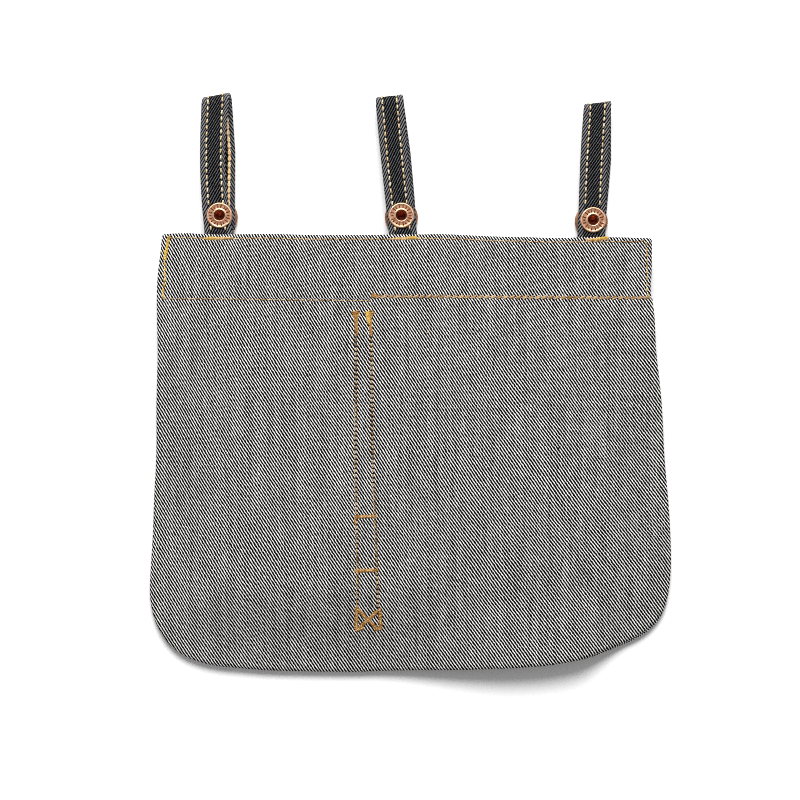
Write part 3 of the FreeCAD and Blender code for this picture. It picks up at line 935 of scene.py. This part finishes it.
def bar_tack(shape, start, end, width, rng, density=0.36, radius=0.2, taper=lambda t: 1.0, ragged=0.25,
             lift=0.0):
    """Close zigzag stitches over a few long ones, from start to end."""
    def strand(places, size):
        points = [(p.x, p.y, face_height(p.x, p.y) + lift + up) for p, up in places]
        shape.tube(points, size, rng.randrange(900))

    start, end = Vector(start), Vector(end)
    along = end - start
    size = along.length
    along.normalize()
    side = Vector((-along.y, along.x))
    for offset in (-0.3, 0.0, 0.3):
        strand([(start + along * (size * t) + side * (offset * width * taper(t)), 0.05 if 0 < t < 1 else -0.3)
                for t in steps(0, 1, 7)], radius * 1.15)
    count = int(size / density)
    for i in range(count):
        t = (i + 0.5) / count
        half = width / 2 * taper(t) * (1 + rng.uniform(-ragged, ragged))
        centre = start + along * (size * t)
        slant = along * (density * rng.uniform(0.3, 0.9) * (1 if i % 2 else -1))
        arch = ((-1, -0.32), (-0.82, -0.02), (-0.4, 0.2), (0, 0.26), (0.4, 0.2), (0.82, -0.02), (1, -0.32))
        strand([(centre + side * (half * f) + slant * f, up) for f, up in arch], radius * rng.uniform(0.85, 1.15))


def flecks(shape, start, end, rng):
    """Paler strands lying over a bar tack."""
    start, end = Vector(start), Vector(end)
    for _ in range(int((end - start).length / 0.75)):
        p = start.lerp(end, rng.random())
        turn = rng.uniform(0, math.pi)
        half = rng.uniform(0.3, 0.6)
        points = [(p.x + half * f * math.cos(turn), p.y + half * f * math.sin(turn),
                   face_height(p.x, p.y) + 0.42 - 0.3 * f * f) for f in (-1, -0.5, 0, 0.5, 1)]
        shape.tube(points, 0.2, rng.randrange(900))


def tack(name, material, rng, runs, *replaced, pale=None):
    """Bar tacks in one piece: each run is (start, end, width, look). pale takes flecks over them."""
    shape = Shape()
    for start, end, width, look in runs:
        bar_tack(shape, start, end, width, rng, **look)
        if pale:
            flecks(pale, start, end, rng)
    finish_thread(shape, name, material, *replaced)


TACK_LOOKS = {
    # loop: (tilt, shift up, where its paler overlay starts and ends)
    "left": (0.25, 0.0, (0.03, 0.42)),
    "middle": (0.2, 0.0, (0.60, 0.97)),
    "right": (0.45, -0.4, (0.45, 1.0)),
}


def loop_tacks():
    for seed, name in enumerate(LOOPS):
        rng = random.Random(80 + seed)
        node = name + "_loop_tack"
        a, b = low(node), high(node)
        tilt, up, overlay = TACK_LOOKS[name]
        y = (a.y + b.y) / 2 + up
        shape = Shape()
        bar_tack(shape, (a.x, y - tilt), (b.x, y + tilt), 1.3, rng, radius=0.24, ragged=0.4,
                 taper=lambda t: 0.55 + 0.45 * math.sin(math.pi * min(1, t * 1.15)))
        for i in range(7):
            side, x = (-1, a.x) if i % 2 else (1, b.x)
            start = (x - side * rng.uniform(1.5, 3.0), y + rng.uniform(-0.4, 0.4))
            end = (x + side * rng.uniform(0.5, 1.6), y + rng.uniform(-0.5, 0.5))
            points = [(start[0] + (end[0] - start[0]) * t, start[1] + (end[1] - start[1]) * t,
                       face_height(*start) + 0.2 - 0.45 * t ** 3) for t in steps(0, 1, 6)]
            shape.tube(points, 0.17, rng.randrange(900))
        finish_thread(shape, node + "_thread", TACK, node)
        ends = [(a.x + (b.x - a.x) * t, y - tilt + 2 * tilt * t + 0.25) for t in overlay]
        tack(node + "_overlay", YELLOW, rng, [(*ends, 1.2, dict(lift=0.16, density=0.42, ragged=0.45))])


def other_tacks():
    rng = random.Random(90)
    for side in ("left", "right"):
        node = "divider_tack_" + side
        a, b = low(node), high(node)
        x = (a.x + b.x) / 2
        look = dict(density=0.4, radius=0.25, ragged=0.3,
                    taper=lambda t: 1.0 - 0.55 * smooth(0.16, 0.34, t) - 0.15 * t)
        tack(node + "_thread", ORANGE, rng, [((x - 0.1, b.y + 0.9), (x + 0.6, a.y - 3.5), 3.6, look)], node)
    look = dict(lift=0.22, density=0.4, radius=0.25, ragged=0.35, taper=lambda t: 1.0 - 0.5 * t)
    tack("divider_tack_overlay", YELLOW, rng, [((x - 1.1, b.y + 0.7), (x - 0.3, a.y + 0.9), 2.1, look)])
    light = Shape()
    for node in ("cross_tack_upper", "cross_tack_lower"):
        a, b = low(node), high(node)
        y = (a.y + b.y) / 2
        ends = (a.x, y - 0.15), (b.x, y + 0.25)
        runs = [(*ends, 1.5, dict(density=0.42, ragged=0.4))]
        if node == "cross_tack_upper":
            runs.append(((a.x + 0.3, y), (a.x + 0.1, y - 3.2), 1.0, dict(density=0.45)))
        tack(node + "_thread", ORANGE, rng, runs, node)
        flecks(light, *ends, rng)
    a, b = low("box_tack"), high("box_tack")
    ends = [((a.x + 0.3, b.y), (a.x + 0.1, a.y)), ((b.x - 0.4, b.y - 0.5), (b.x, a.y + 0.5)),
            ((a.x, b.y), (b.x - 1.2, a.y + 0.4)), ((a.x + 0.2, a.y), (b.x - 1.0, b.y - 1.2)),
            ((a.x, a.y + 0.2), (a.x + 3.6, a.y + 1.3)), ((b.x - 3.0, a.y + 0.6), (b.x, a.y + 0.8))]
    runs = [(*run, 1.5, dict(density=0.5, ragged=0.5)) for run in ends]
    tack("box_tack_thread", ORANGE, rng, runs, "box_tack", pale=light)
    finish_thread(light, "tack_flecks", TACK)
    start, end = (LEFT_END[0][0] - 0.1, TOP_Y + 0.1), (LEFT_END[4][0], LEFT_END[4][1] - 4.0)
    tack("band_end_tack", YELLOW, rng, [(start, end, 1.2, dict(density=0.6, ragged=0.55))])
    tack("band_knot", ORANGE, rng, [((-17.0, BAND_Y + 1.5), (-13.8, BAND_Y + 0.7), 2.0,
                                     dict(density=0.45, ragged=0.5, taper=lambda t: 1 - 0.4 * t))])


def front_stitching(band_rim, strip_rim):
    rng = random.Random(75)
    shape = Shape()

    def sew(path, height):
        stitches(shape, path, rng, height, sink=-0.12)

    def round_edge(rim, inset, node):
        inner = offset_rim(rim, inset)
        z = low(node).z
        sew(np.concatenate([inner, inner[:1]]), lambda x, y: z + float(settle(x, y)))

    round_edge(band_rim, 2.2, "waistband")
    for h in HEM_ROWS:
        sew([(x, MOUTH_Y - h) for x in steps(-106, 105, 120)], lambda x, y: float(pocket_low(x, y, 9.0)) - 0.12)
    hem = offset_rim(POCKET_RIM, 2.4)
    hem = hem[hem[:, 1] < MOUTH_Y - 6]
    hem = hem[np.argsort(np.arctan2(hem[:, 0], 20 - hem[:, 1]))]
    sew(hem, lambda x, y: FLANGE_Z - 0.02 + float(settle(x, y)))
    round_edge(strip_rim, 1.6, "tool_loop_strip")
    finish_thread(shape, "front_stitches", GOLD)


# ---- belt loops ----
@lru_cache(None)
def fold_height(name):
    """Length of a loop's legs, from the bend line to where the fold starts."""
    angle = math.radians(abs(LOOPS[name][1]))
    corner = 5.7 * math.sin(angle)
    return (high(name + "_fold").y - HINGE_Y - corner) / math.cos(angle) - FOLD_R - STRIP / 2


def strip_line(name):
    """The strip's middle line: distance along it -> (height above the bend line, depth, tangent, shift)."""
    _, _, snap, near, far = LOOPS[name]
    leg = fold_height(name)
    bend = math.pi * FOLD_R
    total = leg + bend + leg - 1.0

    def at(s):
        if s <= leg:
            sway = math.sin(math.pi * max(0, s) / leg) * (1.3 if name == "left" else 0.3)
            shift = near * (1 - 0.1 * smooth(0.6 * leg, leg, s)) - sway
            return s, 0.0, 0.0, float(shift)
        if s <= leg + bend:
            turn = (s - leg) / FOLD_R
            t = (s - leg) / bend
            shift = near * 0.9 * (1 - smooth(0, 1, t)) + far[0] * smooth(0, 1, t)
            return (leg + FOLD_R * math.sin(turn), -FOLD_R * (1 - math.cos(turn)), turn, float(shift))
        down = s - leg - bend
        t = down / (leg - 1.0)
        low_t = 1 - (snap + 6) / leg
        shift = np.interp(t, (0, low_t * 0.5, low_t, 1), (far[0], far[1], far[2], 0.0))
        return leg - down, -2 * FOLD_R, math.pi, float(shift)

    return at, total


def askew(name, s):
    """Slope of the strip's crosswise line, which is steepest over the fold."""
    leg = fold_height(name)
    middle = leg + math.pi * FOLD_R / 2
    return math.tan(math.radians(SKEW[name])) * float(1 - smooth(8, 42, abs(s - middle)))


def section(half_width):
    """Half-thickness of the folded strip across its width: a thin middle between the two stitch
    rows and plump folded edges."""
    spread = [-1, -0.992, -0.97, -0.93, -0.87, -0.80, -0.72, -0.65, -0.60, -0.565, -0.535, -0.505,
              -0.46, -0.38, -0.28, -0.17, -0.06]
    spread = spread + [0.06] + [-s for s in reversed(spread[:-1])]
    us = np.array(spread) * half_width
    edge = np.abs(np.array(spread))
    thick = 0.80 + 0.10 * smooth(0.55, 0.72, edge) - 0.24 * np.exp(-((np.abs(us) - HALF_GAUGE) / 0.32) ** 2)
    thick = thick * np.sqrt(np.clip(1 - smooth(0.86, 1.0, edge) ** 2 * 0.985, 0.01, 1))
    return us, thick


def strip_piece(name, start, end, suffix, seed):
    """One run of a loop's strip, as a closed tube with a flat section."""
    at, _ = strip_line(name)
    us, thick = section(LOOP_WIDTH / 2)
    count = int((end - start) / 0.4) + 1
    verts, uvs, faces = [], [], []
    ring = 2 * len(us)
    for i in range(count):
        s = start + (end - start) * i / (count - 1)
        height, depth, turn, shift = at(s)
        ridge = 0.15 * np.sin((s - us * 1.6) / 1.95 * math.tau) * smooth(3.5, 4.1, np.abs(us))
        soft = 0.05 * waves(us, np.full_like(us, s), 11, seed)
        wide = 1 + 0.012 * math.sin(s / 9 + seed)
        bow = math.sin(math.pi * min(max(s / fold_height(name), 0), 1)) * (0.9 if name == "left" else 0.15)
        curl = bow * smooth(3.3, 6.1, us)
        for side in (1, -1):
            for k in range(len(us))[::side]:
                out = side * (thick[k] + ridge[k] + soft[k] * side)
                h = height + out * math.sin(turn)
                z = AXIS_Z + depth + out * math.cos(turn)
                x, y = loop_axis(name, h + us[k] * askew(name, s), us[k] * wide + shift - curl[k])
                verts.append(Vector((x, y, z)))
                uvs.append((us[k], s))
    for i in range(count - 1):
        for k in range(ring):
            a, b = i * ring + k, i * ring + (k + 1) % ring
            faces.append((a, a + ring, b + ring, b))
    faces.append(tuple(range(ring)))
    faces.append(tuple(range(count * ring - 1, (count - 1) * ring - 1, -1)))
    shape = Shape()
    shape.add(verts, uvs, faces)
    return shape.make(name + "_strip_" + suffix, LOOP_CLOTH)


def pierce(item, name):
    """Cuts the snap's holes through both legs."""
    cutter = Shape()
    x, y = loop_axis(name, LOOPS[name][2])
    for radius, z in ((2.2, AXIS_Z), (1.6, AXIS_Z - 2 * FOLD_R)):
        cutter.lathe([(radius, z - 2), (radius, z + 2), (0.0, z + 2), (0.0, z - 2)], (x, y), steps=40)
    tool = cutter.make("cutter", LOOP_CLOTH)
    bm = bmesh.new()
    bm.from_mesh(tool.data)
    bmesh.ops.remove_doubles(bm, verts=bm.verts, dist=1e-7)
    bmesh.ops.recalc_face_normals(bm, faces=bm.faces)
    bm.to_mesh(tool.data)
    bm.free()
    cut = item.modifiers.new("holes", "BOOLEAN")
    cut.operation = "DIFFERENCE"
    cut.solver = "EXACT"
    cut.object = tool
    depsgraph = bpy.context.evaluated_depsgraph_get()
    mesh = bpy.data.meshes.new_from_object(item.evaluated_get(depsgraph))
    item.modifiers.clear()
    item.data = mesh
    bpy.data.objects.remove(tool)


# a topstitch on the strip, end to end: place as a share of its length, height over the strip's middle
STITCH_OUT = ((-0.5, 0.42), (-0.42, 0.66), (-0.2, 0.92), (0, 0.98), (0.2, 0.92), (0.42, 0.66), (0.5, 0.42))


def strip_thread(name, start, end, rng):
    """Stitch rows on the strip's outside and the looper thread's chain on its inside, which comes in
    three runs: near leg, fold and far leg."""
    at, _ = strip_line(name)
    outer, near, fold, far = Shape(), Shape(), Shape(), Shape()
    fold_start = fold_height(name) - 1.9
    fold_end = fold_start + math.pi * FOLD_R + 3.8

    def on_strip(s, u, out):
        height, depth, turn, shift = at(s)
        x, y = loop_axis(name, height + out * math.sin(turn) + u * askew(name, s), u + shift)
        return (x, y, AXIS_Z + depth + out * math.cos(turn))

    for row in (-HALF_GAUGE, HALF_GAUGE):
        for i in range(math.ceil(start / PITCH), int(end / PITCH) + 1):
            middle = (i + 0.5) * PITCH
            if middle - 1 < start or middle + 1 > end:
                continue
            height, depth, *_ = at(middle)
            from_snap = math.hypot(abs(height - LOOPS[name][2]), row)
            size = 1.8 * rng.uniform(0.92, 1.06)
            skew = rng.uniform(-0.14, 0.14) + 0.1
            if from_snap > (7.0 if depth < -FOLD_R else 5.9):
                points = [on_strip(middle + size * f, row + skew * f * 2, out) for f, out in STITCH_OUT]
                outer.tube(points, 0.37 * rng.uniform(0.94, 1.08), rng.randrange(900))
            if (middle - PITCH < start or middle + PITCH > end
                    or from_snap <= (6.0 if depth < -FOLD_R else 6.2)):
                continue
            inner = near if middle < fold_start else fold if middle < fold_end else far
            for lean in (-1, 1):
                points = [on_strip(middle + PITCH * (f * 0.62),
                                   row * 1.1 + lean * 0.42 * math.sin(math.pi * (f + 0.5)),
                                   -(0.90 + 0.20 * math.cos(math.pi * f)))
                          for f in (-0.95, -0.6, -0.25, 0.1, 0.45, 0.8)]
                inner.tube(points, 0.42, rng.randrange(900))
    return outer, near, fold, far


def loops():
    for seed, name in enumerate(LOOPS):
        x = LOOPS[name][0]
        rng = random.Random(100 + seed)
        loop, flap = name + "_loop", name + "_flap"
        total = strip_line(name)[1]
        lower = strip_piece(name, TAIL_LOW, CUT_Y, "lower", seed + 1)
        upper = strip_piece(name, CUT_Y, total, "upper", seed + 1)
        pierce(upper, name)
        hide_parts(name + "_loop_tail")
        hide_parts(name + "_back_leg", name + "_fold", name + "_front_leg")
        # each piece's two bodies and where the bend between them starts and ends
        at_seam = ("pouch", loop, *(Vector((*loop_axis(name, h), AXIS_Z)) * MM for h in (-1.7, 1.7)))
        at_fold = (loop, flap, *(Vector((x, HINGE_Y + 20, z)) * MM
                                 for z in (AXIS_Z - 1.25, AXIS_Z - 2 * FOLD_R + 1.25)))
        for item, size, rests, bend in ((lower, CUT_Y - TAIL_LOW, "front_cloth", at_seam),
                                        (upper, total - CUT_Y, name + "_snap_disc", at_fold)):
            size * MM
            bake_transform(item)
        for part, a, b in (("lower", -2.4, CUT_Y + 0.2), ("upper", CUT_Y - 0.4, total)):
            kinds = ("stitches", "looper_near", "looper_fold", "looper_far")
            for shape, kind in zip(strip_thread(name, a, b, rng), kinds):
                if not shape.verts:
                    continue
                item = shape.make(f"{name}_{kind}_{part}", CREAM if kind == "stitches" else LOOPER)
                if part == "upper" and kind in ("looper_near", "looper_far"):
                    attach(item, loop if kind == "looper_near" else flap)
                else:
                    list(at_seam if part == "lower" else at_fold)
                    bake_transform(item)


# ---- ring snaps ----
def rounded(profile):
    """A closed profile with its corners eased."""
    cut = 0.32
    eased_profile = []
    for before, p, after in zip(profile[-1:] + profile[:-1], profile, profile[1:] + profile[:1]):
        for t in steps(0, 1, 5):
            w0, w1, w2 = (1 - t) ** 2, 2 * t * (1 - t), t ** 2
            a, c = ([p[k] + (other[k] - p[k]) * cut for k in range(2)] for other in (before, after))
            eased_profile.append(tuple(w0 * a[k] + w1 * p[k] + w2 * c[k] for k in range(2)))
    return eased_profile


def snap_box(name, part):
    """Centre, radius, foot and top of one of the snap's turned CAD parts."""
    a, b = low(f"{name}_snap_{part}"), high(f"{name}_snap_{part}")
    return ((a.x + b.x) / 2, (a.y + b.y) / 2), (b.x - a.x) / 2, a.z, b.z


def finish_snap(shape, name, material, body, *replaced):
    item = shape.make(name, material)
    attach(item, body)
    if replaced:
        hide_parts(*replaced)


def snap_disc(name):
    """The visible ring of the snap's post: two raised rims with short marks between them, and the lining of its hole,
    painted dark as shade."""
    centre, r, foot, top = snap_box(name, "post")
    seat = top - 0.8
    hole = 1.9
    shape = Shape()
    profile = rounded([
        (hole, foot), (2.25, foot), (2.25, seat), (r - 0.1, seat), (r + 0.02, seat + 0.3), (r - 0.25, top - 0.02),
        (r - 0.75, top + 0.02), (r - 0.95, top - 0.26), (3.0, top - 0.24), (2.85, top - 0.05), (2.65, top + 0.02),
        (2.45, top - 0.06), (2.37, top - 0.25), (2.36, top - 0.70), (hole, top - 0.74)])
    shape.lathe(profile[::-1], centre, steps=80)
    rng = random.Random(sum(map(ord, name)))
    marks = 18
    for i in range(marks):
        turn = math.tau * (i + rng.uniform(-0.15, 0.15)) / marks
        inner, outer = (3.2, r - 0.95) if i % 3 else (3.5, r - 1.25)
        points = [(centre[0] + q * math.cos(turn + w), centre[1] + q * math.sin(turn + w), top - 0.14)
                  for q, w in ((inner, 0), ((inner + outer) / 2, 0.03 * (-1) ** i), (outer, 0))]
        shape.tube(points, 0.26, 0, sides=8, flat=0.9, pinch=0.75)
    finish_snap(shape, name + "_snap_disc", BRIGHT, name + "_loop", name + "_snap_post")
    # The cup lining the hole takes the darker copper: painted shade in the hole.
    cup = Shape()
    floor_z = low(name + "_snap_stud").z + 1.6
    profile = [(0.02, floor_z), (0.5, floor_z + 0.02), (1.1, floor_z + 0.15), (1.6, floor_z + 0.6),
               (hole - 0.03, floor_z + 1.3), (hole - 0.03, top - 0.64), (2.34, top - 0.62), (2.34, top - 0.22),
               (2.27, top - 0.22), (2.25, top - 0.54), (hole - 0.12, top - 0.58), (1.5, floor_z + 0.75),
               (1.0, floor_z + 0.3), (0.02, floor_z + 0.12)]
    cup.lathe(profile[::-1], centre, steps=48)
    finish_snap(cup, name + "_snap_cup", DARK, name + "_loop")


def snap_dome(name):
    """The cap on the outer side: a shallow dome with a stepped rim."""
    centre, r, crown, top = snap_box(name, "cap")
    seat = crown + 1.9
    profile = [(0.02, crown)] + [(t * (r - 1.5), crown + 0.55 * t ** 2) for t in steps(0.08, 1, 14)]
    profile += [(r - 1.35, crown + 0.78), (r - 1.1, crown + 0.82), (r - 0.9, crown + 0.66), (r - 0.5, crown + 0.68),
                (r - 0.15, crown + 0.95), (r, crown + 1.35), (r - 0.03, crown + 1.7), (r - 0.2, seat), (1.7, seat),
                (1.65, top), (1.2, top), (1.15, seat - 0.1), (0.02, seat - 0.3)]
    shape = Shape()
    shape.lathe(profile, centre, steps=96)
    finish_snap(shape, name + "_snap_dome", BROWN, name + "_flap", name + "_snap_cap")


def snaps():
    for name in LOOPS:
        snap_disc(name)
        snap_dome(name)
        for part, material in (("stud", BROWN), ("socket", BROWN), ("spring", STEEL)):
            node = nodes[f"{name}_snap_{part}"]
            node.data.materials.clear()
            node.data.materials.append(material)


def lint():
    """Neps and a loose end or two caught in the cloth."""
    rng = random.Random(140)
    neps, ends = Shape(), Shape()
    spots = ((neps, 29.8, 22.7), (neps, 31.6, 39.4), (neps, 91.4, -31.4), (neps, 65.5, -28.8), (neps, 50.1, -61.8),
             (ends, 75.6, -99.6))
    for shape, x, y in spots:
        for _ in range(3):
            way = rng.uniform(0, math.pi)
            points = [(x + t * math.cos(way), y + t * math.sin(way), face_height(x, y) + 0.12 - 0.25 * abs(t) / 0.5)
                      for t in (-0.5, -0.2, 0.1, 0.45)]
            shape.tube(points, 0.16, rng.randrange(900))
    for x, y in ((7.4, 21.8), (-16.9, BAND_Y + 1.2)):
        points = [(x + 0.3 * t, y + 0.5 * t, face_height(x, y) + 0.15 - 0.1 * t) for t in (-1, -0.3, 0.4, 1)]
        ends.tube(points, 0.22, rng.randrange(900))
    item = neps.make("neps", NEP_AND_HOLE_SHADE_YARN)
    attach(item, "pouch")
    finish_thread(ends, "loose_ends", ORANGE)


# ---- room, light and camera ----
def link(item):
    bpy.context.scene.collection.objects.link(item)
    return item


def room():
    side, edge, count = 6.0, -0.0002, 12
    row = count + 1
    verts = [(side * (i / count - 0.5), side * (j / count - 0.5), edge) for j in range(row) for i in range(row)]
    faces = [(a, a + 1, a + row + 1, a + row) for a in (j * row + i for j in range(count) for i in range(count))]
    mesh = bpy.data.meshes.new("floor")
    mesh.from_pydata(verts, [], faces)
    mesh.materials.append(paper_floor())
    link(bpy.data.objects.new("floor", mesh))
    world = bpy.data.worlds.new("studio")
    bpy.context.scene.world = world
    world.use_nodes = True
    background = world.node_tree.nodes["Background"]
    background.inputs["Color"].default_value = (1.0, 1.0, 1.0, 1.0)
    background.inputs["Strength"].default_value = 0.38


def lamp():
    """One large soft disc, above and beyond the top edge."""
    data = bpy.data.lights.new("key", "AREA")
    data.shape = "DISK"
    data.size = 1.1
    data.energy = 47
    item = link(bpy.data.objects.new("key", data))
    item.location = (-0.03, 1.12, 1.30)
    item.rotation_mode = "QUATERNION"
    item.rotation_quaternion = (Vector((0, -0.02, 0)) - item.location).to_track_quat("-Z", "Y")


def camera():
    scene = bpy.context.scene
    data = bpy.data.cameras.new("camera")
    data.lens = 92.0
    data.sensor_width = 36.0
    scene.camera = link(bpy.data.objects.new("camera", data))
    scene.camera.location = (-0.0045, -0.0077, (FACE_Z + 900) * MM)
    scene.view_settings.view_transform = "Standard"
    scene.cycles.filter_width = 1.0
    scene.cycles.use_denoising = False


main_panels()
band_rim = band_cloth()
pocket_cloth()
strap_cloth("strap_cloth", "tool_strap")
strip_rim = strap_cloth("strip_cloth", "tool_loop_strip")
band_stitching()
divider_stitching()
loop_tacks()
other_tacks()
front_stitching(band_rim, strip_rim)
loops()
snaps()
lint()
room()
lamp()
camera()
